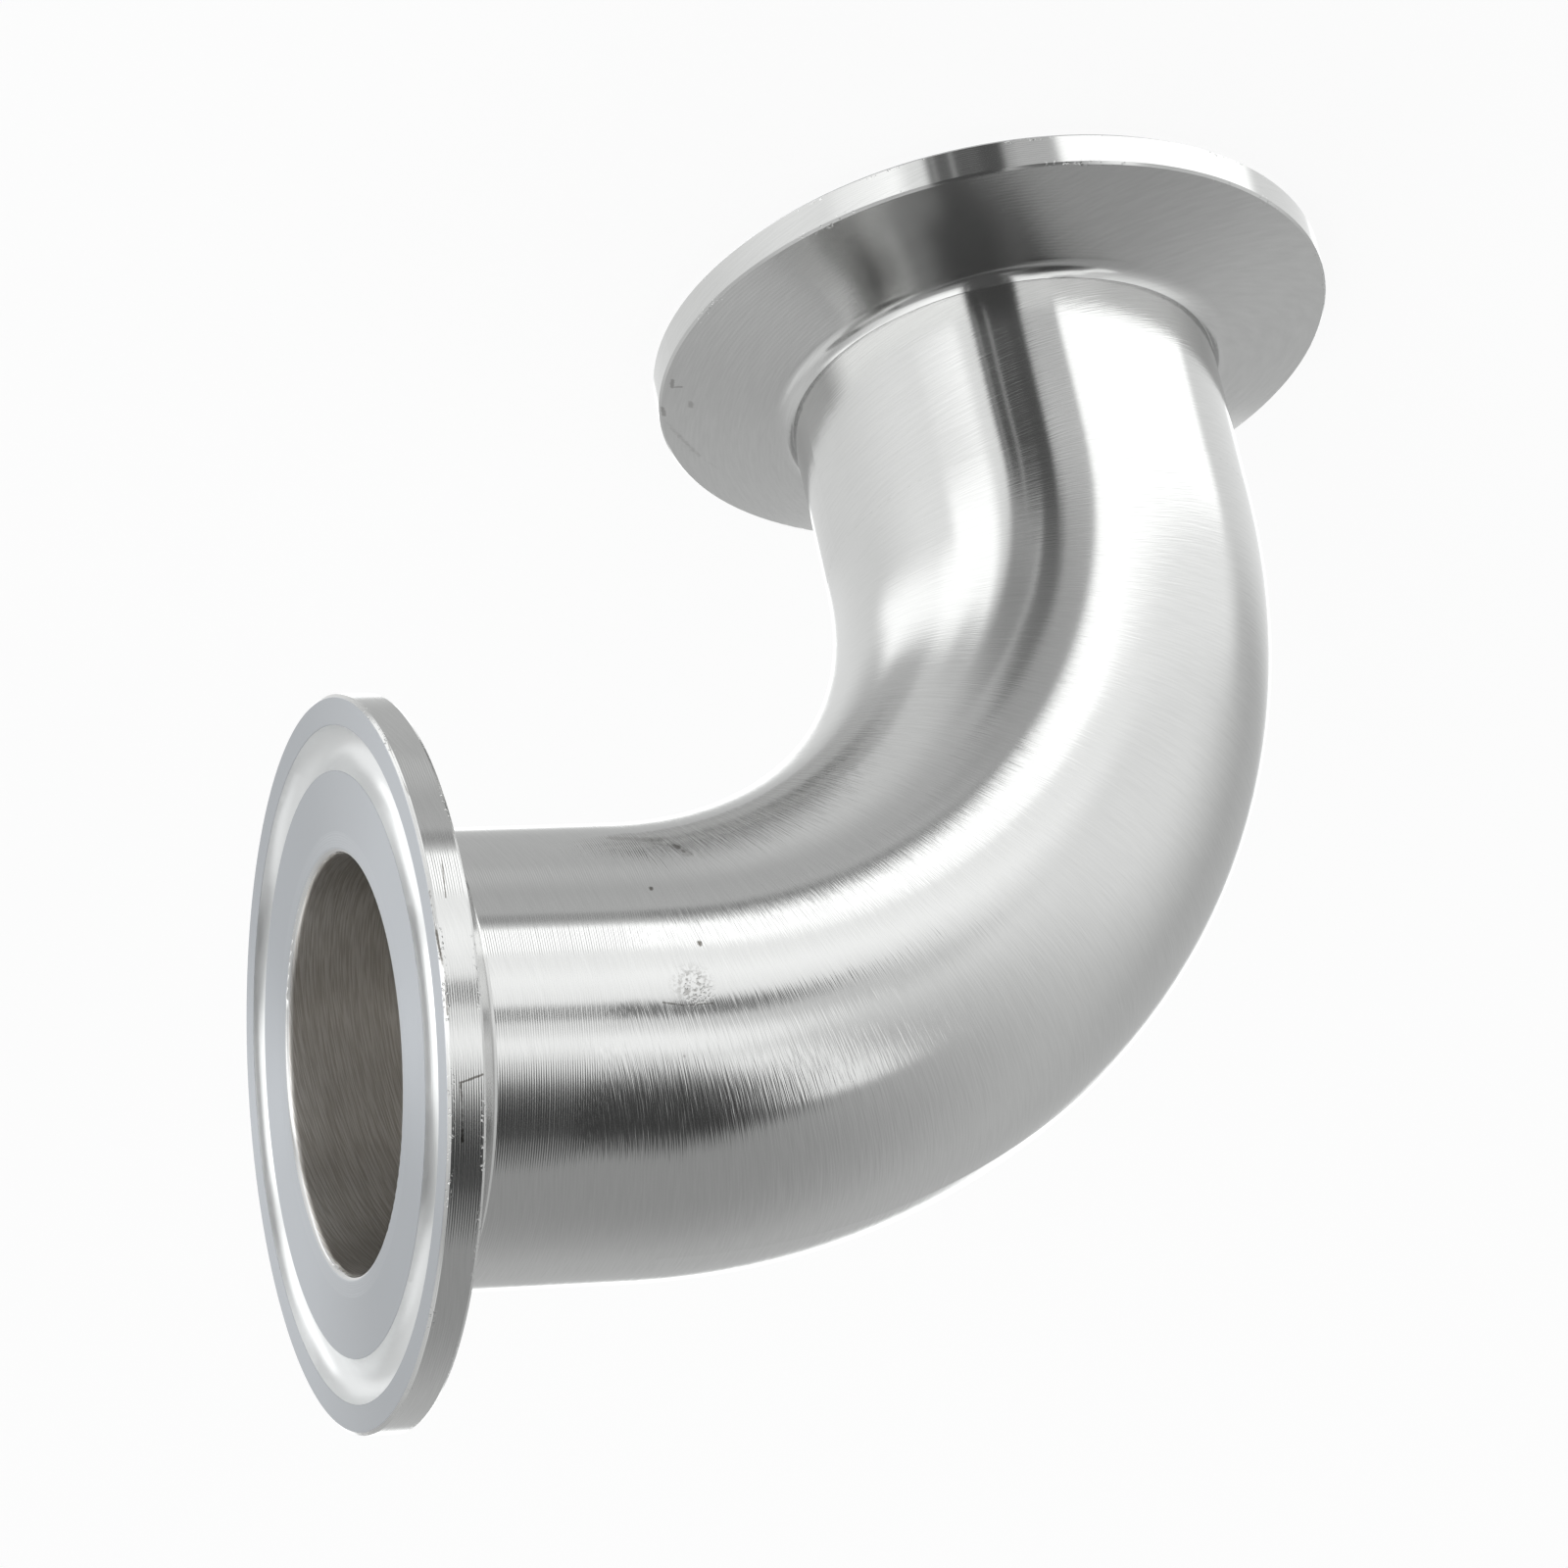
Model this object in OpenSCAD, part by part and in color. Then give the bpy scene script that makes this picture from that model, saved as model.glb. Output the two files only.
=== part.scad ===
// Sanitary clamp elbow, 90 degrees, in stainless steel.
// A polished tube bend with a turned clamp ferrule butt welded to each end,
// both welds ground flush. The lower ferrule stands on its sealing face, with
// the centre of that face at the origin. The other leg leaves along +X.

/* [Tube] */
// Outside diameter of the tube
tube_d = 31.75; // [25:0.05:34]
// Wall of the tube, and of the ferrule necks that continue it
wall = 1.5; // [1:0.1:2.5]

/* [Bend] */
// Angle between the two legs' flow directions
bend_angle = 90; // [30:1:90]
// Radius of the bend, on the centre line
bend_r = 40; // [34:0.5:80]

/* [Clamp ferrule] */
// Length of a ferrule from its sealing face to its weld, where the bend starts
ferrule_l = 19.6; // [14:0.1:30]
// Diameter of the flange that the clamp closes round
flange_d = 50.5; // [48:0.05:56]
// Thickness of the flange at its rim
rim_t = 2.6; // [2.2:0.05:4]
// Slope of the back face that the clamp wedges on, from square
back_angle = 20; // [12:1:24]
// Radius of the round-nosed tool that hollows out the slope's end, at the neck
root_r = 4; // [3:0.5:12]
// Distance from the neck to where the tool goes deepest
root_w = 1.2; // [0.6:0.1:1.6]
// Depth that it goes there below the line of the slope
root_dip = 0.02; // [0.01:0.01:0.05]
// Broken edge round the sealing face
face_edge = 0.25; // [0.1:0.05:0.5]
// Broken edge at the start of the back slope
back_edge = 0.15; // [0.1:0.05:0.4]
// Rounding where the bore meets the sealing face
bore_edge = 0.5; // [0.2:0.05:0.8]

/* [Gasket groove] */
// Diameter of the groove, on the middle of its width
groove_d = 43.2; // [42:0.05:43.5]
// Width of the groove at the sealing face
groove_w = 3.1; // [2.4:0.05:3.4]
// Depth of the groove below the sealing face
groove_depth = 1.4; // [0.8:0.05:1.5]

/* [Hidden] */
$fn = 96;

tube_r = tube_d / 2;
bore_r = tube_r - wall;
flange_r = flange_d / 2;
// Overlap that cutting shapes run past a face
cut = 1;

// Back slope as a line: height above the sealing face at a given radius
function slope_z(r) = rim_t + (flange_r - r) * tan(back_angle);
// Deepest place of the hollow, and the centre of the tool there
root_start = tube_r + root_w;
root_x = root_start + (root_r - root_dip) * sin(back_angle);
root_z = slope_z(root_start) + (root_r - root_dip) * cos(back_angle);
// Radius of the groove's round section, from its width and depth
groove_r = (pow(groove_w / 2, 2) + pow(groove_depth, 2)) / (2 * groove_depth);

// Carries its children from the standing end to the other end of the bend,
// turned so that what faces down there faces out here
module at_outlet() {
    translate([bend_r, 0, ferrule_l])
        rotate([0, bend_angle, 0])
            translate([-bend_r, 0, ferrule_l])
                mirror([0, 0, 1])
                    children();
}

// Bent tube, from the end of one ferrule's neck to the end of the other's
module elbow_tube() {
    color("#b9bab6")
        translate([bend_r, 0, ferrule_l])
            rotate([90, 0, 0])
                rotate([0, 0, 180 - bend_angle])
                    rotate_extrude(angle = bend_angle)
                        translate([bend_r, 0])
                            difference() {
                                circle(r = tube_r);
                                circle(r = bore_r);
                            }
}

// Half section of the flange, with its broken edges and the back slope, which
// ends at the neck in a shallow hollow with a crisp corner
module flange_section() {
    difference() {
        polygon([
            [tube_r - wall / 2, 0],
            [flange_r - face_edge, 0],
            [flange_r, face_edge],
            [flange_r, rim_t - back_edge],
            [flange_r - back_edge, slope_z(flange_r - back_edge)],
            [root_start, slope_z(root_start)],
            [root_x, root_z],
            [tube_r - wall / 2, root_z]
        ]);
        translate([root_x, root_z]) circle(r = root_r);
    }
}

// Half section of the neck, solid to the axis, up to its weld
module neck_section() {
    square([tube_r, ferrule_l]);
}

// Half section of the bore with its rounded mouth, as the shape to cut away
module bore_section() {
    translate([0, -cut]) square([bore_r, ferrule_l + 2 * cut]);
    difference() {
        translate([0, -cut]) square([bore_r + bore_edge, bore_edge + cut]);
        translate([bore_r + bore_edge, bore_edge]) circle(r = bore_edge);
    }
}

// One turned clamp ferrule, standing on its sealing face
module clamp_ferrule() {
    color("#c3c5c4")
        rotate_extrude()
            difference() {
                union() {
                    flange_section();
                    neck_section();
                }
                bore_section();
                translate([groove_d / 2, groove_depth - groove_r]) circle(r = groove_r);
            }
}

module base_ferrule() {
    clamp_ferrule();
}

module outlet_ferrule() {
    at_outlet() clamp_ferrule();
}

elbow_tube();
base_ferrule();
outlet_ferrule();
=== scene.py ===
import math
import bpy
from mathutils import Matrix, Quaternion, Vector


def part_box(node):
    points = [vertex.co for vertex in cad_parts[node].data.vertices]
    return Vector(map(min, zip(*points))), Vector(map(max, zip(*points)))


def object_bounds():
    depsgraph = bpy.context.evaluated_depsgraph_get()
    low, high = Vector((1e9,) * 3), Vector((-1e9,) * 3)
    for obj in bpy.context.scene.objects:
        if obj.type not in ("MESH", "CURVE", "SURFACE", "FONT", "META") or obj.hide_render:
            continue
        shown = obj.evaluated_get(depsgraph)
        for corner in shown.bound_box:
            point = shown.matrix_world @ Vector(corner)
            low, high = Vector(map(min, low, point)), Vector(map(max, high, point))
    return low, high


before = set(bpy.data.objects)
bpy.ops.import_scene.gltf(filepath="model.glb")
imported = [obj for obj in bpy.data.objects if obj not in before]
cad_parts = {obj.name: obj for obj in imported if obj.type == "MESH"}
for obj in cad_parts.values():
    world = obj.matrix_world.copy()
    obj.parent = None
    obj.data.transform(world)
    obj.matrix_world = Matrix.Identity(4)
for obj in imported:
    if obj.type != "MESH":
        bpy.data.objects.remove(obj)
cad_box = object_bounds()

# The bent tube: one 31.75 mm tube of stainless steel, bent to 90 degrees, its butt welds ground flush.
# It was brushed with a narrow abrasive belt that runs round the tube, so short scratches round its girth
# draw every reflection out along it. Pits, a smudge and a porous patch are left by the outlet's weld.

MM = 0.001
# From each sealing face to the middle line of the other leg
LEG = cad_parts["outlet_ferrule"].bound_box[6][0]
FERRULE_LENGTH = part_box("base_ferrule")[1].z
BEND_RADIUS = LEG - FERRULE_LENGTH
BEND_CENTRE = (BEND_RADIUS, 0, FERRULE_LENGTH)
BORE_REACH = 14.45 * MM            # anything nearer to the axis than this is the inside wall
STEEL = "#CECECD"
STEEL_WORN = "#C2C2C1"
# The bore's paler colour is painted light, which lifts the shade inside the bore
STEEL_BORE_PAINTED_LIGHT = "#E6E3DF"
STEEL_BORE_LOW = "#CCC8C2"
STEEL_SOILED = "#57534D"
BORE_STREAKS = (0.38, 0.62)        # the scratches' values from the bore's darker streaks to its paler ones
BELTED_ROUGHNESS = 0.12
BORE_ROUGHNESS = 0.31
LAY_STRETCH = 0.75                 # how strongly scratches and rings draw a reflection out across them
NOISE_MIDDLE = 0.5
SCRATCH_WIDTH = 0.11 * MM          # a real 180 grit scratch is finer; drawn as coarse as it needs to show
SCRATCH_LENGTH = 2.6 * MM
SCRATCH_DEPTH = 0.0120 * MM
SCRATCH_BREAKS = 0.6               # how strongly finer noise breaks the scratches up
BELT_LEAN = 0.22                   # how far the scratches lean off square to the tube
FINE_BELT_SHARE = 0.42             # how deep the scratches are near the base, against those near the outlet
BELT_CHANGE = (0.6, 1.3)           # where that changes, in bend radii along the tube from the base's weld
HAND_WAVE = 7.0 * MM               # the slight unevenness that a hand-held belt leaves
HAND_WAVE_DEPTH = 0.022 * MM
MARK_GRAIN = 0.26 * MM
MARK_RAGGED = 1.2                  # how far the grain breaks a mark's edge, in half widths
MARK_FADE = (1.8, 1.1)             # where it ends and where it is full, with the grain's share, in the same
PORE_DEPTH = 0.02 * MM
PORE_GRAIN = (0.46, 0.66)          # the grain's values from whole skin to open pore
PORE_DARK = 0.5
POROUS_PATCH = Vector((39.3, -15.6, 62.8)) * MM
POROUS_REACH = 1.8 * MM
POROUS_CORE = 0.5                  # the share of its reach over which the patch is full
POROUS_RAGGED = 1.6 * MM           # how far the grain breaks the patch's edge
POROUS_SHIFT = 0.9 * MM            # the grain's mean share of that, and a little more
# Start and end of each mark in mm, its half width in mm and how dark it is
MARKS = {
    "pit by the weld": ((38.3, -15.9, 59.8), (38.3, -15.9, 59.85), 0.20, 0.9),
    "pit above": ((40.7, -15.2, 55.1), (40.7, -15.2, 55.15), 0.16, 0.8),
    "pit in the shade": ((40.3, -13.8, 67.2), (40.3, -13.8, 67.25), 0.14, 0.7),
    "smudge": ((37.6, -13.2, 50.8), (37.5, -13.35, 51.0), 0.27, 0.75),
    "smudge's other end": ((37.3, -13.65, 51.4), (37.25, -13.75, 51.5), 0.20, 0.6),
    "smudge's edge": ((37.8, -13.1, 50.6), (37.1, -13.9, 51.7), 0.46, 0.24),
    "smudge's tail": ((39.0, -13.0, 50.3), (37.8, -13.3, 50.7), 0.15, 0.35),
    "brown streak": ((41.6, -12.2, 49.4), (38.4, -12.6, 49.8), 0.40, 0.26),
    "crack": ((41.5, -15.3, 63.9), (40.0, -15.25, 64.15), 0.07, 0.7),
    "crack's end": ((40.0, -15.25, 64.15), (38.0, -15.2, 64.05), 0.06, 0.5),
}


def linear(hex_colour):
    """An sRGB hex colour as the linear colour that a shader takes."""
    shares = [int(hex_colour[i:i + 2], 16) / 255 for i in (1, 3, 5)]
    return tuple(s / 12.92 if s <= 0.04045 else ((s + 0.055) / 1.055) ** 2.4 for s in shares) + (1.0,)


def add(tree, kind, inputs=None, **settings):
    """Adds one node to tree: settings are its properties, inputs a value or an output for each socket."""
    made = tree.nodes.new(kind)
    for name, value in settings.items():
        setattr(made, name, value)
    for socket, value in (inputs or {}).items():
        if isinstance(value, bpy.types.NodeSocket):
            tree.links.new(value, made.inputs[socket])
        else:
            made.inputs[socket].default_value = value
    return made


def new_finish(name):
    """An empty material and its tree."""
    finish = bpy.data.materials.new(name)
    finish.use_nodes = True
    finish.node_tree.nodes.clear()
    return finish, finish.node_tree


def belt_scratches(tree, along, outward, side):
    """The belt's scratches and waves as heights in metres, and the noise of the scratches, at each place."""
    leaned = add(tree, "ShaderNodeMath", {0: outward, 1: BELT_LEAN, 2: along},
                 operation="MULTIPLY_ADD").outputs[0]
    spread = add(tree, "ShaderNodeCombineXYZ", {0: leaned, 1: outward, 2: side}).outputs[0]
    scale = (1 / SCRATCH_WIDTH, 1 / SCRATCH_LENGTH, 1 / SCRATCH_LENGTH)
    place = add(tree, "ShaderNodeVectorMath", {0: spread, 1: scale}, operation="MULTIPLY").outputs[0]
    fine = add(tree, "ShaderNodeTexNoise", {"Vector": place, "Scale": 1.0, "Detail": 1.0,
                                            "Roughness": SCRATCH_BREAKS}).outputs[0]
    wave = add(tree, "ShaderNodeTexNoise", {"Vector": spread, "Scale": 1 / HAND_WAVE,
                                            "Detail": 0.0}).outputs[0]
    coarse = add(tree, "ShaderNodeMapRange", {
        0: along, 1: BEND_RADIUS * BELT_CHANGE[0], 2: BEND_RADIUS * BELT_CHANGE[1],
        3: SCRATCH_DEPTH * FINE_BELT_SHARE, 4: SCRATCH_DEPTH}).outputs[0]
    centred = add(tree, "ShaderNodeMath", {0: fine, 1: NOISE_MIDDLE}, operation="SUBTRACT").outputs[0]
    strokes = add(tree, "ShaderNodeMath", {0: centred, 1: coarse}, operation="MULTIPLY").outputs[0]
    waves = add(tree, "ShaderNodeMath", {0: wave, 1: HAND_WAVE_DEPTH}, operation="MULTIPLY").outputs[0]
    return strokes, waves, fine


def draw_marks(tree, place, marks, grain):
    """How dark the marks make each place: strokes from start to end, broken up by the grain."""
    marked = 0.0
    for start, end, half_width, dark in marks.values():
        start, end = Vector(start) * MM, Vector(end) * MM
        way = end - start
        reach = half_width * MM
        offset = add(tree, "ShaderNodeVectorMath", {0: place, 1: start}, operation="SUBTRACT").outputs[0]
        share = add(tree, "ShaderNodeVectorMath", {0: offset, 1: way / way.length_squared},
                    operation="DOT_PRODUCT").outputs["Value"]
        share = add(tree, "ShaderNodeClamp", {0: share}).outputs[0]
        nearest = add(tree, "ShaderNodeVectorMath", {0: way, 3: share}, operation="SCALE").outputs[0]
        gap = add(tree, "ShaderNodeVectorMath", {0: offset, 1: nearest},
                  operation="DISTANCE").outputs["Value"]
        ragged = add(tree, "ShaderNodeMath", {0: grain, 1: reach * MARK_RAGGED, 2: gap},
                     operation="MULTIPLY_ADD").outputs[0]
        spot = add(tree, "ShaderNodeMapRange", {0: ragged, 1: reach * MARK_FADE[0], 2: reach * MARK_FADE[1],
                                                4: dark}).outputs[0]
        marked = add(tree, "ShaderNodeMath", {0: marked, 1: spot}, operation="MAXIMUM").outputs[0]
    return marked


def draw_porous(tree, place, grain):
    """How dark the pores of the weld's porous patch make each place."""
    gap = add(tree, "ShaderNodeVectorMath", {0: place, 1: POROUS_PATCH},
              operation="DISTANCE").outputs["Value"]
    gap = add(tree, "ShaderNodeMath", {0: grain, 1: POROUS_RAGGED, 2: gap},
              operation="MULTIPLY_ADD").outputs[0]
    patch = add(tree, "ShaderNodeMapRange", {0: gap, 1: POROUS_REACH + POROUS_SHIFT,
                                             2: POROUS_REACH * POROUS_CORE + POROUS_SHIFT}).outputs[0]
    open_pores = add(tree, "ShaderNodeMapRange", {0: grain, 1: PORE_GRAIN[0], 2: PORE_GRAIN[1],
                                                  4: PORE_DARK}).outputs[0]
    return add(tree, "ShaderNodeMath", {0: patch, 1: open_pores}, operation="MULTIPLY").outputs[0]


def draw_wear(tree, place, marks):
    """How dark wear makes each place, how much of that is pores, and the grain that breaks it all up."""
    grain = add(tree, "ShaderNodeTexNoise", {"Vector": place, "Scale": 1 / MARK_GRAIN,
                                             "Detail": 1.0}).outputs[0]
    marked = draw_marks(tree, place, marks, grain)
    pores = draw_porous(tree, place, grain)
    worn = add(tree, "ShaderNodeMath", {0: marked, 1: pores}, operation="MAXIMUM").outputs[0]
    return worn, pores, grain


def tint_steel(tree, fine, inside):
    """The steel's colour: a little worn between the scratches; in the bore warmer, and paler as painted
    light on its shade.
    """
    outer = add(tree, "ShaderNodeMix", {0: fine, 6: linear(STEEL_WORN), 7: linear(STEEL)},
                data_type="RGBA").outputs[2]
    streak = add(tree, "ShaderNodeMapRange", {0: fine, 1: BORE_STREAKS[0], 2: BORE_STREAKS[1]}).outputs[0]
    # In the bore the steel is painted paler: painted light that lifts the bore's shade
    bore = add(tree, "ShaderNodeMix", {0: streak, 6: linear(STEEL_BORE_LOW), 7: linear(STEEL_BORE_PAINTED_LIGHT)},
               data_type="RGBA").outputs[2]
    return add(tree, "ShaderNodeMix", {0: inside, 6: outer, 7: bore}, data_type="RGBA").outputs[2]


def dress_in_steel(node, finish, worn, tint, sheen, lay_way, height):
    """Puts the steel on its node, soiled where it is worn, with its reflections drawn out across its lay."""
    tree = finish.node_tree
    tint = add(tree, "ShaderNodeMix", {0: worn, 6: tint, 7: linear(STEEL_SOILED)},
               data_type="RGBA").outputs[2]
    bump = add(tree, "ShaderNodeBump", {"Strength": 1.0, "Distance": 1.0, "Height": height})
    steel = add(tree, "ShaderNodeBsdfPrincipled", {
        "Base Color": tint, "Metallic": 1.0, "Roughness": sheen, "Anisotropic": LAY_STRETCH,
        "Tangent": lay_way, "Normal": bump.outputs[0]})
    add(tree, "ShaderNodeOutputMaterial", {"Surface": steel.outputs[0]})
    node.material_slots[0].material = finish


def finish_tube(node):
    """Belt-brushed stainless steel: bright, with its reflections drawn out along the tube."""
    finish, tree = new_finish("stainless_steel_belt_brushed")
    place = add(tree, "ShaderNodeTexCoord").outputs["Object"]
    arm = add(tree, "ShaderNodeVectorMath", {0: place, 1: BEND_CENTRE}, operation="SUBTRACT").outputs[0]
    part = add(tree, "ShaderNodeSeparateXYZ", {0: arm}).outputs
    flat_arm = add(tree, "ShaderNodeCombineXYZ", {0: part[0], 2: part[2]}).outputs[0]
    reach = add(tree, "ShaderNodeVectorMath", {0: flat_arm}, operation="LENGTH").outputs["Value"]
    back = add(tree, "ShaderNodeMath", {0: part[0], 1: -1.0}, operation="MULTIPLY").outputs[0]
    turn = add(tree, "ShaderNodeMath", {0: part[2], 1: back}, operation="ARCTAN2").outputs[0]
    along = add(tree, "ShaderNodeMath", {0: turn, 1: BEND_RADIUS}, operation="MULTIPLY").outputs[0]
    outward = add(tree, "ShaderNodeMath", {0: reach, 1: BEND_RADIUS}, operation="SUBTRACT").outputs[0]
    tube_way = add(tree, "ShaderNodeCombineXYZ", {0: part[2], 2: back}).outputs[0]
    section = add(tree, "ShaderNodeCombineXYZ", {1: outward, 2: part[1]}).outputs[0]
    from_axis = add(tree, "ShaderNodeVectorMath", {0: section}, operation="LENGTH").outputs["Value"]
    inside = add(tree, "ShaderNodeMath", {0: from_axis, 1: BORE_REACH}, operation="LESS_THAN").outputs[0]
    strokes, waves, fine = belt_scratches(tree, along, outward, part[1])
    height = add(tree, "ShaderNodeMath", {0: strokes, 1: waves}, operation="ADD").outputs[0]

    # The pores are sunk below the brushed skin
    worn, pores, _ = draw_wear(tree, place, MARKS)
    height = add(tree, "ShaderNodeMath", {0: pores, 1: -PORE_DEPTH, 2: height},
                 operation="MULTIPLY_ADD").outputs[0]
    sheen = add(tree, "ShaderNodeMapRange", {0: inside, 3: BELTED_ROUGHNESS, 4: BORE_ROUGHNESS}).outputs[0]
    dress_in_steel(node, finish, worn, tint_steel(tree, fine, inside), sheen, tube_way, height)


finish_tube(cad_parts["elbow_tube"])

# The clamp ferrules: each was turned from stainless steel bar, with a matt lapped sealing face, a gasket
# groove, a 20 degree clamp slope and a neck. The outlet's rim and neck keep the tool's fine rings up to
# where the belt began. On the base ferrule the belt went over the whole neck. Both rims are nicked.

LATHE_PITCH = 0.17 * MM            # looks like about 0.15 mm in truth; drawn as coarse as it needs to show
LATHE_DEPTH = 0.0022 * MM
LATHE_UNEVEN_DEPTH = 0.0032 * MM
LATHE_UNEVEN_RATE = 0.8            # how fast the unevenness changes from ring to ring
SLOPE_SHARE = 0.18                 # the slope's rings are this much as deep as the neck's
BASE_RINGS = 0.10                  # and the base ferrule's this much as deep as the outlet's
BASE_BELT = (-12.0 * MM, -10.0 * MM)     # the belt went over all of this neck
OUTLET_BELT = (17.0 * MM, 21.0 * MM)     # and began this far along that one, earlier on the bend's outside
BELT_SLANT = 0.45                  # how much earlier, for each step outward
BELT_RAGGED = 3.0 * MM             # how unevenly it began
FLANGE_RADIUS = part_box("base_ferrule")[1].y
FLANGE_BACK = 2.55 * MM            # the slope, the hollow and the neck lie farther from the face than this
FACE_FADE = (0.06 * MM, 0.01 * MM)       # from off the sealing face to on it
SLOPE_EDGE = 0.1 * MM              # how far inside the rim the slope begins
GROOVE_RADIUS = 21.6 * MM
GROOVE_HALF_WIDTH = 1.6 * MM
HOLLOW_OUTSIDE = 17.5 * MM         # where the shallow hollow round the neck begins and ends
HOLLOW_INSIDE = 15.875 * MM
HOLLOW_CLEAR = 0.02 * MM           # keeps it off the neck's own skin
HOLLOW_CURL = 0.48 * MM            # how much steeper it is drawn at the corner, so that it mirrors the room
HOLLOW_CURL_POWER = 3.0            # and how closely that keeps to the corner
HOLLOW_RINGS = 0.9                 # its rings are this much as deep as the outlet neck's
NICK_GROUP = 5.5 * MM
NICK_DEPTH = 0.036 * MM
NICK_GRAIN = (0.60, 0.72)          # the grain's values from whole edge to knock
NICK_GROUPS = (0.50, 0.58)         # and those of the groups that the knocks come in
NICK_RIM = (0.40 * MM, 0.20 * MM)        # the knocks' reach inward from the rim
NICK_FRONT = (0.50 * MM, 0.30 * MM)      # back from the sealing face
NICK_REAR = (0.30 * MM, 0.10 * MM)       # and forward from the rim's back edge
# The lapped sealing face's own matt grey, painted darker still as painted shade
STEEL_LAPPED_WITH_PAINTED_SHADE = "#C0C3C7"
# The groove's paler colour is a painted highlight, standing in for the light on its walls
STEEL_GROOVE_PAINTED_HIGHLIGHT = "#E8E9E9"
LAPPED_ROUGHNESS = 0.44
SLOPE_EXTRA_ROUGHNESS = 0.05
GROOVE_EXTRA_ROUGHNESS = 0.12
BASE_MARKS = {
    "hooked stain by the slope's edge": ((24.5, 2.4, 2.83), (24.3, 3.3, 2.87), 0.16, 0.40),
    "hook's end": ((24.3, 3.3, 2.87), (23.7, 2.9, 3.10), 0.10, 0.36),
    "round stain": ((22.6, 4.6, 3.40), (22.5, 5.1, 3.40), 0.22, 0.30),
    "stain on the edge": ((24.2, 6.4, 2.68), (23.8, 7.3, 2.74), 0.20, 0.40),
    "first streak": ((23.7, 8.0, 3.0), (20.0, 12.0, 3.5), 0.26, 0.24),
    "second streak": ((22.8, 10.0, 3.1), (17.5, 14.0, 4.0), 0.26, 0.22),
    "third streak": ((20.0, 14.6, 3.2), (15.0, 15.6, 4.3), 0.24, 0.20),
}
OUTLET_MARKS = {
    "slanted nick": ((58.75, -21.6, 72.6), (57.2, -21.9, 72.2), 0.09, 0.8),
    "gouge": ((58.7, -21.6, 72.6), (58.6, -19.4, 75.7), 0.11, 0.9),
    "chipped edge": ((59.45, -25.0, 60.2), (59.45, -24.6, 65.6), 0.11, 0.9),
    "chipped edge's end": ((59.4, -24.5, 66.0), (59.4, -23.6, 68.6), 0.08, 0.7),
    "scored rim": ((58.3, -25.25, 57.6), (58.55, -25.2, 60.8), 0.06, 0.7),
    "scratched edge": ((59.4, -21.8, 46.8), (59.4, -24.2, 52.4), 0.06, 0.5),
    **MARKS,
}


def ferrule_zones(tree, length, reach):
    """Where each part of a ferrule lies, from its length from the face and reach from the axis: 1 in it.

    The slope's zone takes in the flange's front as well, so the sealing face shares its faint rings.
    """
    face = add(tree, "ShaderNodeMapRange", {0: length, 1: FACE_FADE[0], 2: FACE_FADE[1]}).outputs[0]
    inside = add(tree, "ShaderNodeMath", {0: reach, 1: BORE_REACH}, operation="LESS_THAN").outputs[0]
    flange = add(tree, "ShaderNodeMath", {0: reach, 1: HOLLOW_INSIDE + HOLLOW_CLEAR},
                 operation="GREATER_THAN").outputs[0]
    behind = add(tree, "ShaderNodeMath", {0: length, 1: FLANGE_BACK}, operation="GREATER_THAN").outputs[0]
    slope = add(tree, "ShaderNodeMath", {0: reach, 1: FLANGE_RADIUS - SLOPE_EDGE},
                operation="LESS_THAN").outputs[0]
    slope = add(tree, "ShaderNodeMath", {0: slope, 1: flange}, operation="MULTIPLY").outputs[0]
    groove = add(tree, "ShaderNodeMath", {0: reach, 1: GROOVE_RADIUS, 2: GROOVE_HALF_WIDTH},
                 operation="COMPARE").outputs[0]
    groove = add(tree, "ShaderNodeMath", {0: groove, 1: behind}, operation="GREATER_THAN").outputs[0]
    return {"face": face, "inside": inside, "flange": flange, "behind": behind, "slope": slope,
            "groove": groove}


def belt_zone(tree, fine, length, outward, belt, zones):
    """Where the belt went over a ferrule: in the bore, and on the neck from where it began."""
    begun = add(tree, "ShaderNodeMath", {0: fine, 1: BELT_RAGGED, 2: length},
                operation="MULTIPLY_ADD").outputs[0]
    begun = add(tree, "ShaderNodeMath", {0: outward, 1: BELT_SLANT, 2: begun},
                operation="MULTIPLY_ADD").outputs[0]
    belted = add(tree, "ShaderNodeMapRange", {0: begun, 1: belt[0], 2: belt[1]},
                 interpolation_type="SMOOTHSTEP").outputs[0]
    off_flange = add(tree, "ShaderNodeMath", {0: zones["behind"], 1: zones["flange"]},
                     operation="GREATER_THAN").outputs[0]
    belted = add(tree, "ShaderNodeMath", {0: belted, 1: off_flange}, operation="MULTIPLY").outputs[0]
    return add(tree, "ShaderNodeMath", {0: belted, 1: zones["inside"]}, operation="MAXIMUM").outputs[0]


def hollow_curl(tree, reach, zones):
    """How far the hollow round the neck has turned up into its corner, where it mirrors the room."""
    curled = add(tree, "ShaderNodeMapRange", {0: reach, 1: HOLLOW_OUTSIDE, 2: HOLLOW_INSIDE}).outputs[0]
    curled = add(tree, "ShaderNodeMath", {0: curled, 1: HOLLOW_CURL_POWER}, operation="POWER").outputs[0]
    curled = add(tree, "ShaderNodeMath", {0: curled, 1: zones["flange"]}, operation="MULTIPLY").outputs[0]
    return add(tree, "ShaderNodeMath", {0: curled, 1: zones["behind"]}, operation="MULTIPLY").outputs[0]


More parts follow.
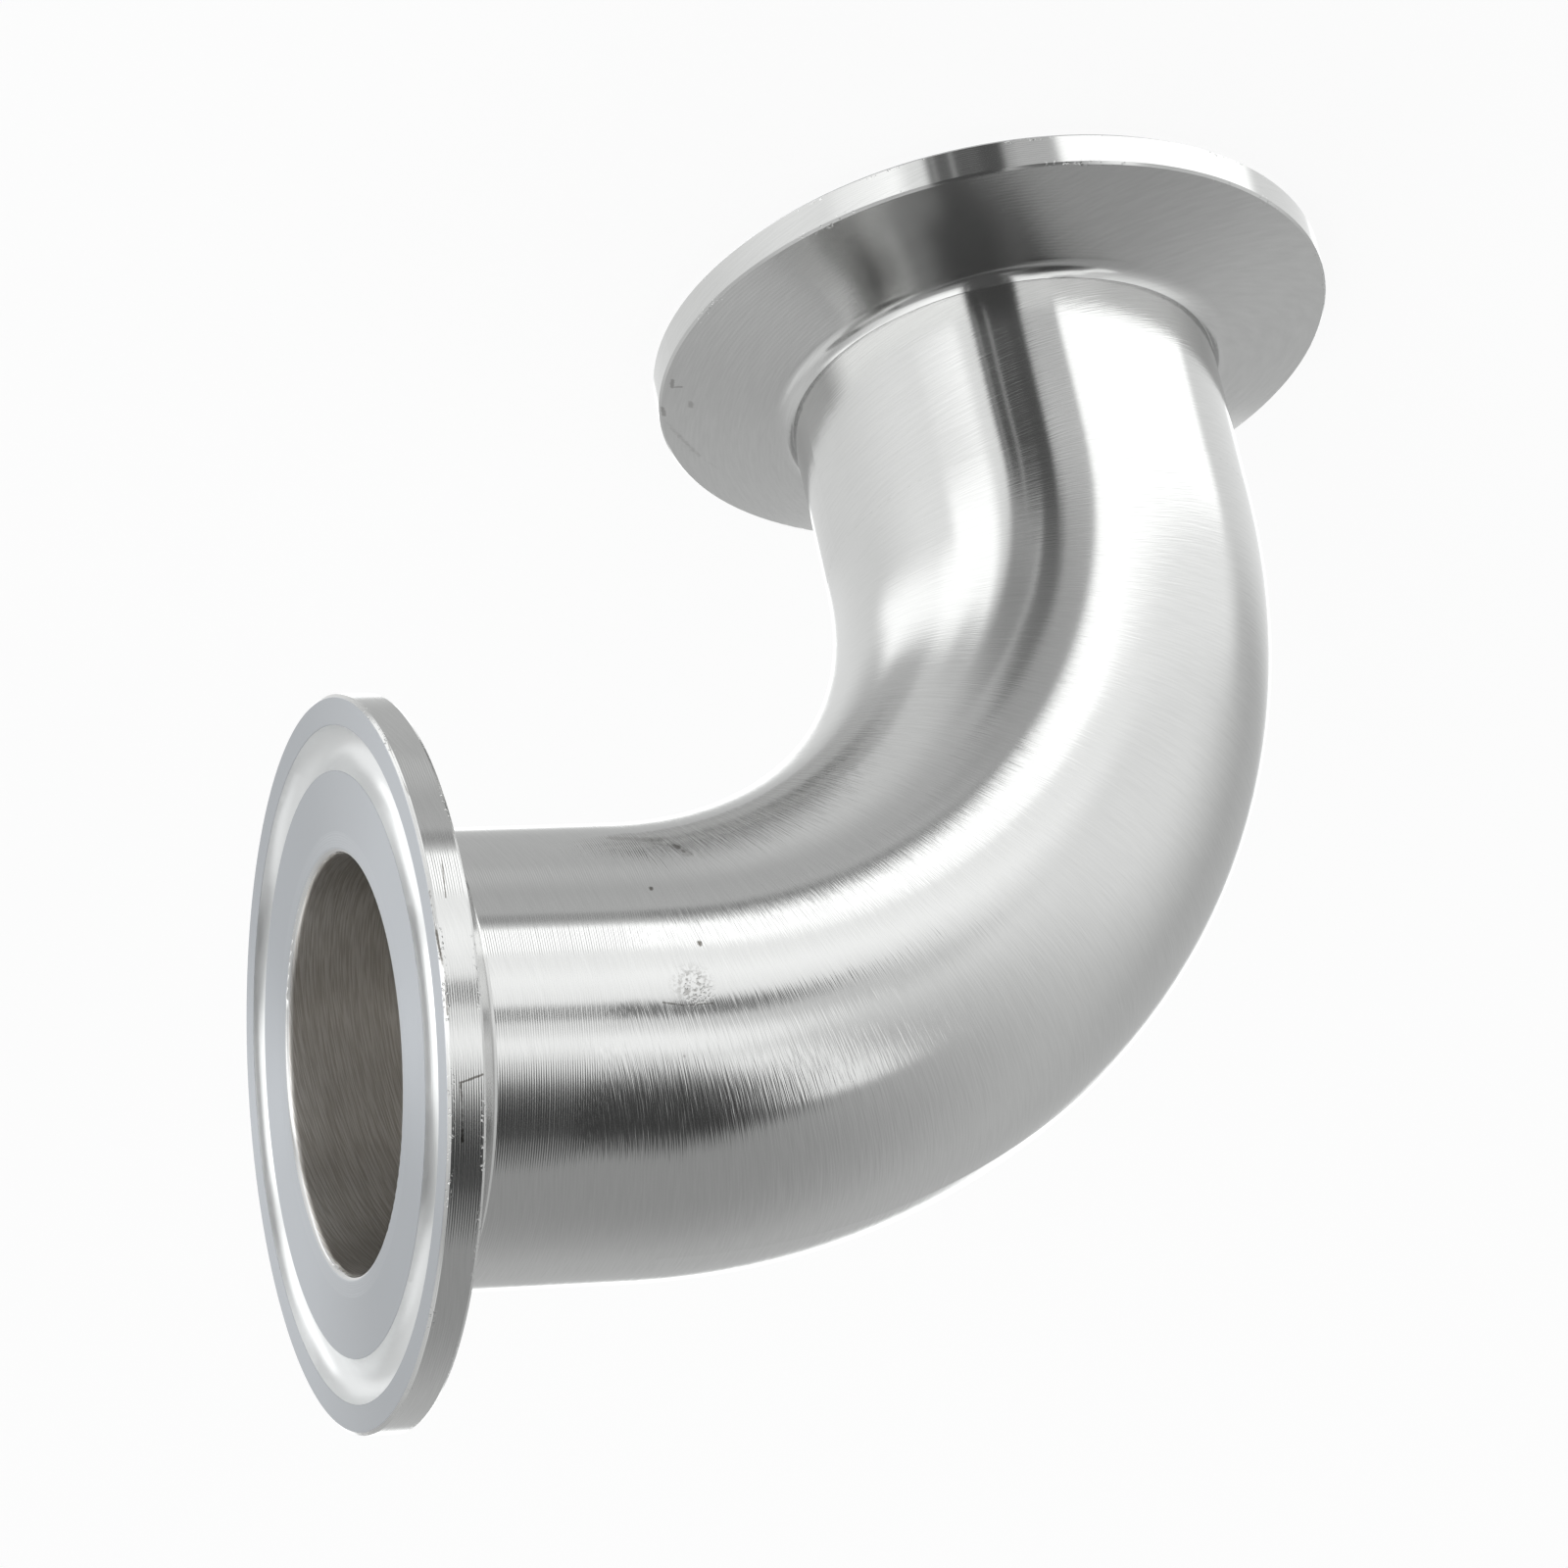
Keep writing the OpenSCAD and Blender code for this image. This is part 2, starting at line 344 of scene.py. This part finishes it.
def tool_rings(tree, length, reach, curled, slope, rings_share):
    """The tool's rings, even and uneven, as a height in metres."""
    feed = add(tree, "ShaderNodeMath", {0: length, 1: reach}, operation="ADD").outputs[0]
    turns = add(tree, "ShaderNodeMath", {0: feed, 1: math.tau / LATHE_PITCH},
                operation="MULTIPLY").outputs[0]
    rings = add(tree, "ShaderNodeMath", {0: turns}, operation="SINE").outputs[0]
    steps = add(tree, "ShaderNodeMath", {0: feed, 1: 1 / LATHE_PITCH}, operation="MULTIPLY").outputs[0]
    uneven = add(tree, "ShaderNodeTexNoise", {"W": steps, "Scale": LATHE_UNEVEN_RATE, "Detail": 0.0},
                 noise_dimensions="1D").outputs[0]
    uneven = add(tree, "ShaderNodeMath", {0: uneven, 1: NOISE_MIDDLE}, operation="SUBTRACT").outputs[0]
    turned = add(tree, "ShaderNodeMath", {0: uneven, 1: LATHE_UNEVEN_DEPTH / LATHE_DEPTH, 2: rings},
                 operation="MULTIPLY_ADD").outputs[0]
    gain = add(tree, "ShaderNodeMapRange", {0: slope, 3: LATHE_DEPTH * rings_share,
                                            4: LATHE_DEPTH * SLOPE_SHARE}).outputs[0]
    gain = add(tree, "ShaderNodeMath", {0: curled, 1: LATHE_DEPTH * HOLLOW_RINGS, 2: gain},
               operation="MULTIPLY_ADD").outputs[0]
    return add(tree, "ShaderNodeMath", {0: turned, 1: gain}, operation="MULTIPLY").outputs[0]


def rim_nicks(tree, place, length, reach, grain):
    """Where small knocks in groups lie along the flange's two broken edges: 1 in each."""
    groups = add(tree, "ShaderNodeTexNoise", {"Vector": place, "Scale": 1 / NICK_GROUP,
                                              "Detail": 0.0}).outputs[0]
    nicks = add(tree, "ShaderNodeMapRange", {0: grain, 1: NICK_GRAIN[0], 2: NICK_GRAIN[1]}).outputs[0]
    groups = add(tree, "ShaderNodeMapRange", {0: groups, 1: NICK_GROUPS[0], 2: NICK_GROUPS[1]}).outputs[0]
    nicks = add(tree, "ShaderNodeMath", {0: nicks, 1: groups}, operation="MULTIPLY").outputs[0]
    rim = add(tree, "ShaderNodeMapRange", {0: reach, 1: FLANGE_RADIUS - NICK_RIM[0],
                                           2: FLANGE_RADIUS - NICK_RIM[1]}).outputs[0]
    front = add(tree, "ShaderNodeMapRange", {0: length, 1: NICK_FRONT[0], 2: NICK_FRONT[1]}).outputs[0]
    rear = add(tree, "ShaderNodeMapRange", {0: length, 1: FLANGE_BACK - NICK_REAR[0],
                                            2: FLANGE_BACK - NICK_REAR[1]}).outputs[0]
    edges = add(tree, "ShaderNodeMath", {0: front, 1: rear}, operation="MAXIMUM").outputs[0]
    edges = add(tree, "ShaderNodeMath", {0: edges, 1: rim}, operation="MULTIPLY").outputs[0]
    return add(tree, "ShaderNodeMath", {0: nicks, 1: edges}, operation="MULTIPLY").outputs[0]


def ferrule_sheen(tree, zones):
    """The roughness: brushed or turned outside, rougher in the bore, on the slope and in the groove."""
    sheen = add(tree, "ShaderNodeMapRange", {0: zones["inside"], 3: BELTED_ROUGHNESS,
                                             4: BORE_ROUGHNESS}).outputs[0]
    sheen = add(tree, "ShaderNodeMix", {0: zones["face"], 2: sheen, 3: LAPPED_ROUGHNESS},
                data_type="FLOAT").outputs[0]
    sheen = add(tree, "ShaderNodeMath", {0: zones["slope"], 1: SLOPE_EXTRA_ROUGHNESS, 2: sheen},
                operation="MULTIPLY_ADD").outputs[0]
    return add(tree, "ShaderNodeMath", {0: zones["groove"], 1: GROOVE_EXTRA_ROUGHNESS, 2: sheen},
               operation="MULTIPLY_ADD").outputs[0]


def finish_ferrule(node, name, face_place, away, outward_way, belt_shift, belt, rings_share, marks):
    """Turned stainless steel, whose fine rings draw each reflection out along the leg.

    The ferrule's face is at face_place and its leg runs away from it, with the bend's outside at
    outward_way. belt_shift turns a length from the face into one along the tube from the base's weld.
    """
    finish, tree = new_finish(name)
    place = add(tree, "ShaderNodeTexCoord").outputs["Object"]
    arm = add(tree, "ShaderNodeVectorMath", {0: place, 1: face_place}, operation="SUBTRACT").outputs[0]
    length = add(tree, "ShaderNodeVectorMath", {0: arm, 1: away}, operation="DOT_PRODUCT").outputs["Value"]
    outward = add(tree, "ShaderNodeVectorMath", {0: arm, 1: outward_way},
                  operation="DOT_PRODUCT").outputs["Value"]
    side = add(tree, "ShaderNodeSeparateXYZ", {0: arm}).outputs[1]
    section = add(tree, "ShaderNodeCombineXYZ", {1: outward, 2: side}).outputs[0]
    reach = add(tree, "ShaderNodeVectorMath", {0: section}, operation="LENGTH").outputs["Value"]
    skin = add(tree, "ShaderNodeNewGeometry").outputs["Normal"]
    round_way = add(tree, "ShaderNodeVectorMath", {0: arm, 1: away}, operation="CROSS_PRODUCT").outputs[0]
    lay_way = add(tree, "ShaderNodeVectorMath", {0: round_way, 1: skin},
                  operation="CROSS_PRODUCT").outputs[0]

    # The skin's height: the tool's rings or the belt's scratches, the curl of the hollow and the nicks
    zones = ferrule_zones(tree, length, reach)
    tube_along = add(tree, "ShaderNodeMath", {0: length, 1: belt_shift[0], 2: belt_shift[1]},
                     operation="MULTIPLY_ADD").outputs[0]
    strokes, waves, fine = belt_scratches(tree, tube_along, outward, side)
    belted = belt_zone(tree, fine, length, outward, belt, zones)
    curled = hollow_curl(tree, reach, zones)
    turned = tool_rings(tree, length, reach, curled, zones["slope"], rings_share)
    height = add(tree, "ShaderNodeMix", {0: belted, 2: turned, 3: strokes}, data_type="FLOAT").outputs[0]
    height = add(tree, "ShaderNodeMath", {0: height, 1: waves}, operation="ADD").outputs[0]
    height = add(tree, "ShaderNodeMath", {0: curled, 1: HOLLOW_CURL, 2: height},
                 operation="MULTIPLY_ADD").outputs[0]
    worn, _, grain = draw_wear(tree, place, marks)
    nicked = rim_nicks(tree, place, length, reach, grain)
    height = add(tree, "ShaderNodeMath", {0: nicked, 1: -NICK_DEPTH, 2: height},
                 operation="MULTIPLY_ADD").outputs[0]

    tint = tint_steel(tree, fine, zones["inside"])
    # The groove is painted paler: a painted highlight on its walls
    tint = add(tree, "ShaderNodeMix", {0: zones["groove"], 6: tint, 7: linear(STEEL_GROOVE_PAINTED_HIGHLIGHT)},
               data_type="RGBA").outputs[2]
    # The sealing face is painted darker than the steel: its matt grey, with painted shade
    tint = add(tree, "ShaderNodeMix", {0: zones["face"], 6: tint, 7: linear(STEEL_LAPPED_WITH_PAINTED_SHADE)},
               data_type="RGBA").outputs[2]
    dress_in_steel(node, finish, worn, tint, ferrule_sheen(tree, zones), lay_way, height)


finish_ferrule(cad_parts["base_ferrule"], "stainless_steel_turned_base",
               face_place=(0, 0, 0), away=(0, 0, 1), outward_way=(-1, 0, 0),
               belt_shift=(1, -FERRULE_LENGTH), belt=BASE_BELT, rings_share=BASE_RINGS, marks=BASE_MARKS)
finish_ferrule(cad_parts["outlet_ferrule"], "stainless_steel_turned_outlet",
               face_place=(LEG, 0, LEG), away=(-1, 0, 0), outward_way=(0, 0, 1),
               belt_shift=(-1, BEND_RADIUS * math.pi / 2 + FERRULE_LENGTH), belt=OUTLET_BELT,
               rings_share=1.0, marks=OUTLET_MARKS)

# The table: a plain white floor of matt paper that the elbow stands on, wide enough to fill the view. The
# camera sees it white, with only the elbow's soft shadow on it. The steel doesn't mirror it.

FLOOR_RADIUS = 3.0                 # in metres
FLOOR_SIDES = 64
FLOOR_GAP = 0.02 * MM
FLOOR_GLOW = 0.86                  # comes to about white with the light that the paper takes from the studio
FLOOR_GLOW_COLOUR = "#FFFFFF"
FLOOR_PAPER = "#7C7C7C"


def make_floor():
    """The table top, as one round face: matt, so that it shows a shadow and no reflection."""
    bpy.ops.mesh.primitive_circle_add(vertices=FLOOR_SIDES, radius=FLOOR_RADIUS, fill_type="NGON",
                                      location=(0, 0, cad_box[0].z - FLOOR_GAP))
    floor = bpy.context.object
    floor.name = "floor"
    finish, tree = new_finish("paper_white_matt")
    glow = add(tree, "ShaderNodeEmission", {"Color": linear(FLOOR_GLOW_COLOUR), "Strength": FLOOR_GLOW})
    matt = add(tree, "ShaderNodeBsdfDiffuse", {"Color": linear(FLOOR_PAPER)})
    both = add(tree, "ShaderNodeAddShader", {0: glow.outputs[0], 1: matt.outputs[0]})
    add(tree, "ShaderNodeOutputMaterial", {"Surface": both.outputs[0]})
    floor.data.materials.append(finish)
    # No surface mirrors the floor or is lit by it: two of the studio's screens stand in for it there
    floor.visible_glossy = False
    floor.visible_diffuse = False


make_floor()

# The studio: soft light from all sides, painted on the world as screens over a plain wall. White and grey
# ones stand all round, with a dark gap between them in front, dark flags overhead and a few thin lines.
# The steel mirrors them, while the camera sees flat white where they stand.

WALL_LEVEL = 0.62
WALL_TINT = "#FEFFFF"
WHITE_LEVEL = 1.0
NO_DEPTH = (2, 1)                  # fills the third place of a range that has only two directions
# Each row gives the bearing of a screen's middle from the front (positive to the outlet's side), its height
# above the horizon, its width and height, its tilt, how soft its sides and its ends are, all in degrees, and
# how bright it is, where 1 is plain white. A later one stands in front of an earlier one.
SCREENS = {
    "left wall": (-80, 38, 90, 50, 0, 60, 40, 0.72),
    "upper wall": (-108, 71, 200, 56, 0, 50, 44, 0.43),
    "floor": (0, -90, 400, 52, 0, 14, 14, 0.66),
    "floor in front": (20, -84, 130, 36, 0, 20, 20, 0.88),
    "front fill": (-47, -3, 88, 40, 0, 46, 34, 1.16),
    "left of the gap": (-17, 8, 26, 84, 0, 8, 16, 1.10),
    "left of the gap, above": (-22, 21, 13, 12, 0, 6, 7, 1.36),
    "left of the gap, low": (-26, -14, 28, 18, 0, 14, 14, 1.46),
    "low band left": (-110, -33, 90, 22, 0, 24, 10, 1.02),
    "low band glow": (-52, -20, 80, 12, 0, 16, 10, 1.28),
    "low band front": (-53, -31, 76, 12, 0, 7, 3, 1.95),
    "low band end": (-20, -31, 20, 9, -30, 4, 3, 1.95),
    "right screen": (32, 10, 90, 76, 0, 76, 76, 1.72),
    "right screen's top": (62, 57, 120, 42, 0, 24, 16, 0.44),
    "high right pale": (136, 46, 58, 36, 0, 18, 18, 0.98),
    "far right gap": (136, 4, 40, 50, 0, 26, 26, 0.80),
    "right screen's middle": (70, -5, 84, 20, 0, 24, 10, 2.00),
    "low right pale": (88, -38, 118, 26, 0, 50, 12, 1.22),
    "low far right pale": (150, -42, 90, 34, 0, 50, 20, 0.98),
    "low right screen": (96, -57, 78, 15, 0, 18, 8, 1.72),
    "low right screen's end": (51, -45, 26, 26, -12, 7, 10, 1.80),
    "low right screen's bend": (64, -53, 26, 15, -20, 7, 8, 1.80),
    "left spot": (-157, -25, 32, 36, 22, 8, 8, 1.74),
    "top gap": (6, 75, 116, 26, 0, 30, 8, 0.07),
    "overhead flag": (-23, 52.5, 58, 31, -26, 14, 12, 0.20),
    "overhead flag's middle": (-29, 56, 42, 21, -26, 14, 12, 0.06),
    "overhead gap": (-41, 36, 32, 8, -29, 5, 4, 1.46),
    "overhead gap's end": (-50, 39.5, 13, 11, -20, 10, 6, 1.38),
    "beside the small gap": (-28, 9, 25, 13, 0, 9, 9, 0.86),
    "small dark gap": (-18.5, 6.5, 13, 7, 0, 6, 3.5, 0.20),
    "dark line low": (-22, -42.5, 13, 4.5, 0, 8, 3, 0.30),
    "grey foot": (-4, -38, 19, 26, 0, 4, 6, 0.53),
    "patch beside the gap": (-3.5, -27.5, 17, 8, 0, 2, 1.5, 0.86),
    "gap's right foot": (23, -48, 17, 20, 0, 6, 12, 0.40),
    "gap's foot": (7.5, -42.5, 12, 18, 0, 3, 8, 0.26),
    "dark gap": (18.5, 20, 26, 113, 0, 3, 8, 0.10),
    "gap's first light line": (29.0, -30, 1.2, 20, 0, 1.2, 6, 0.42),
    "gap's second light line": (23.0, -30, 1.4, 20, 0, 1.2, 6, 0.46),
}


def paint_screen(tree, bearing, rise, level, screen):
    """The studio's level with one screen painted over it, at each bearing and rise."""
    azimuth, height, width, tall, tilt, soft_side, soft_end, bright = screen
    turned = add(tree, "ShaderNodeMath", {0: bearing, 1: math.radians(azimuth)},
                 operation="SUBTRACT").outputs[0]
    across = add(tree, "ShaderNodeMath", {0: turned, 1: math.pi, 2: -math.pi}, operation="WRAP").outputs[0]
    up = add(tree, "ShaderNodeMath", {0: rise, 1: math.radians(height)}, operation="SUBTRACT").outputs[0]
    offset = add(tree, "ShaderNodeCombineXYZ", {0: across, 1: up}).outputs[0]
    if tilt:
        offset = add(tree, "ShaderNodeVectorRotate", {"Vector": offset, "Angle": -math.radians(tilt)},
                     rotation_type="Z_AXIS").outputs[0]
    away = add(tree, "ShaderNodeVectorMath", {0: offset}, operation="ABSOLUTE").outputs[0]
    sides = ((width, soft_side), (tall, soft_end), NO_DEPTH)
    outer = [math.radians((span + soft) / 2) for span, soft in sides]
    inner = [math.radians((span - soft) / 2) for span, soft in sides]
    inside = add(tree, "ShaderNodeMapRange", {6: away, 7: outer, 8: inner}, data_type="FLOAT_VECTOR",
                 interpolation_type="SMOOTHSTEP").outputs[1]
    shares = add(tree, "ShaderNodeSeparateXYZ", {0: inside}).outputs
    share = add(tree, "ShaderNodeMath", {0: shares[0], 1: shares[1]}, operation="MULTIPLY").outputs[0]
    return add(tree, "ShaderNodeMix", {0: share, 2: level, 3: bright}, data_type="FLOAT").outputs[0]


def light_studio():
    """The world: the screens painted over the plain wall, and flat white where the camera looks past."""
    world = bpy.data.worlds.new("studio")
    bpy.context.scene.world = world
    world.use_nodes = True
    tree = world.node_tree
    tree.nodes.clear()
    way = add(tree, "ShaderNodeTexCoord").outputs["Generated"]
    part = add(tree, "ShaderNodeSeparateXYZ", {0: way}).outputs
    front = add(tree, "ShaderNodeMath", {0: part[1], 1: -1.0}, operation="MULTIPLY").outputs[0]
    bearing = add(tree, "ShaderNodeMath", {0: part[0], 1: front}, operation="ARCTAN2").outputs[0]
    rise = add(tree, "ShaderNodeMath", {0: part[2]}, operation="ARCSINE").outputs[0]
    level = WALL_LEVEL
    for screen in SCREENS.values():
        level = paint_screen(tree, bearing, rise, level, screen)
    seen = add(tree, "ShaderNodeLightPath").outputs["Is Camera Ray"]
    level = add(tree, "ShaderNodeMix", {0: seen, 2: level, 3: WHITE_LEVEL}, data_type="FLOAT").outputs[0]
    light = add(tree, "ShaderNodeBackground", {"Color": linear(WALL_TINT), "Strength": level})
    add(tree, "ShaderNodeOutputWorld", {"Surface": light.outputs[0]})
    # Soft light all round needs no aimed rays, and the render is quicker without them
    world.cycles.sampling_method = "NONE"


light_studio()

# The camera: a long lens half a metre away and above the elbow, on the outlet's side. The picture is
# held upside down and a little askew, as in the photograph, with the base ferrule at the top.

CAMERA_AIM = Vector((23.49, 0.25, 38.46)) * MM
CAMERA_DISTANCE = 534.6 * MM
CAMERA_AZIMUTH = 21.68             # in degrees, as the height and the roll are
CAMERA_HEIGHT = 27.94
CAMERA_ROLL = 167.80
CAMERA_SEES = (0.05, 20)           # the nearest and the farthest that it shows, in metres
LENS = 172.8                       # its focal length in mm


def place_camera():
    """The camera, from its distance, its bearing and height round the aim, and its roll."""
    azimuth = math.radians(CAMERA_AZIMUTH)
    height = math.radians(CAMERA_HEIGHT)
    level_way = Vector((math.sin(azimuth), -math.cos(azimuth), 0))
    back = level_way * math.cos(height) + Vector((0, 0, math.sin(height)))
    camera = bpy.data.objects.new("camera", bpy.data.cameras.new("camera"))
    bpy.context.scene.collection.objects.link(camera)
    camera.data.lens = LENS
    camera.data.clip_start, camera.data.clip_end = CAMERA_SEES
    camera.location = CAMERA_AIM + back * CAMERA_DISTANCE
    camera.rotation_mode = "QUATERNION"
    level_view = (-back).to_track_quat("-Z", "Y")
    camera.rotation_quaternion = level_view @ Quaternion((0, 0, 1), math.radians(CAMERA_ROLL))
    bpy.context.scene.camera = camera


place_camera()
bpy.context.scene.view_settings.view_transform = "Standard"
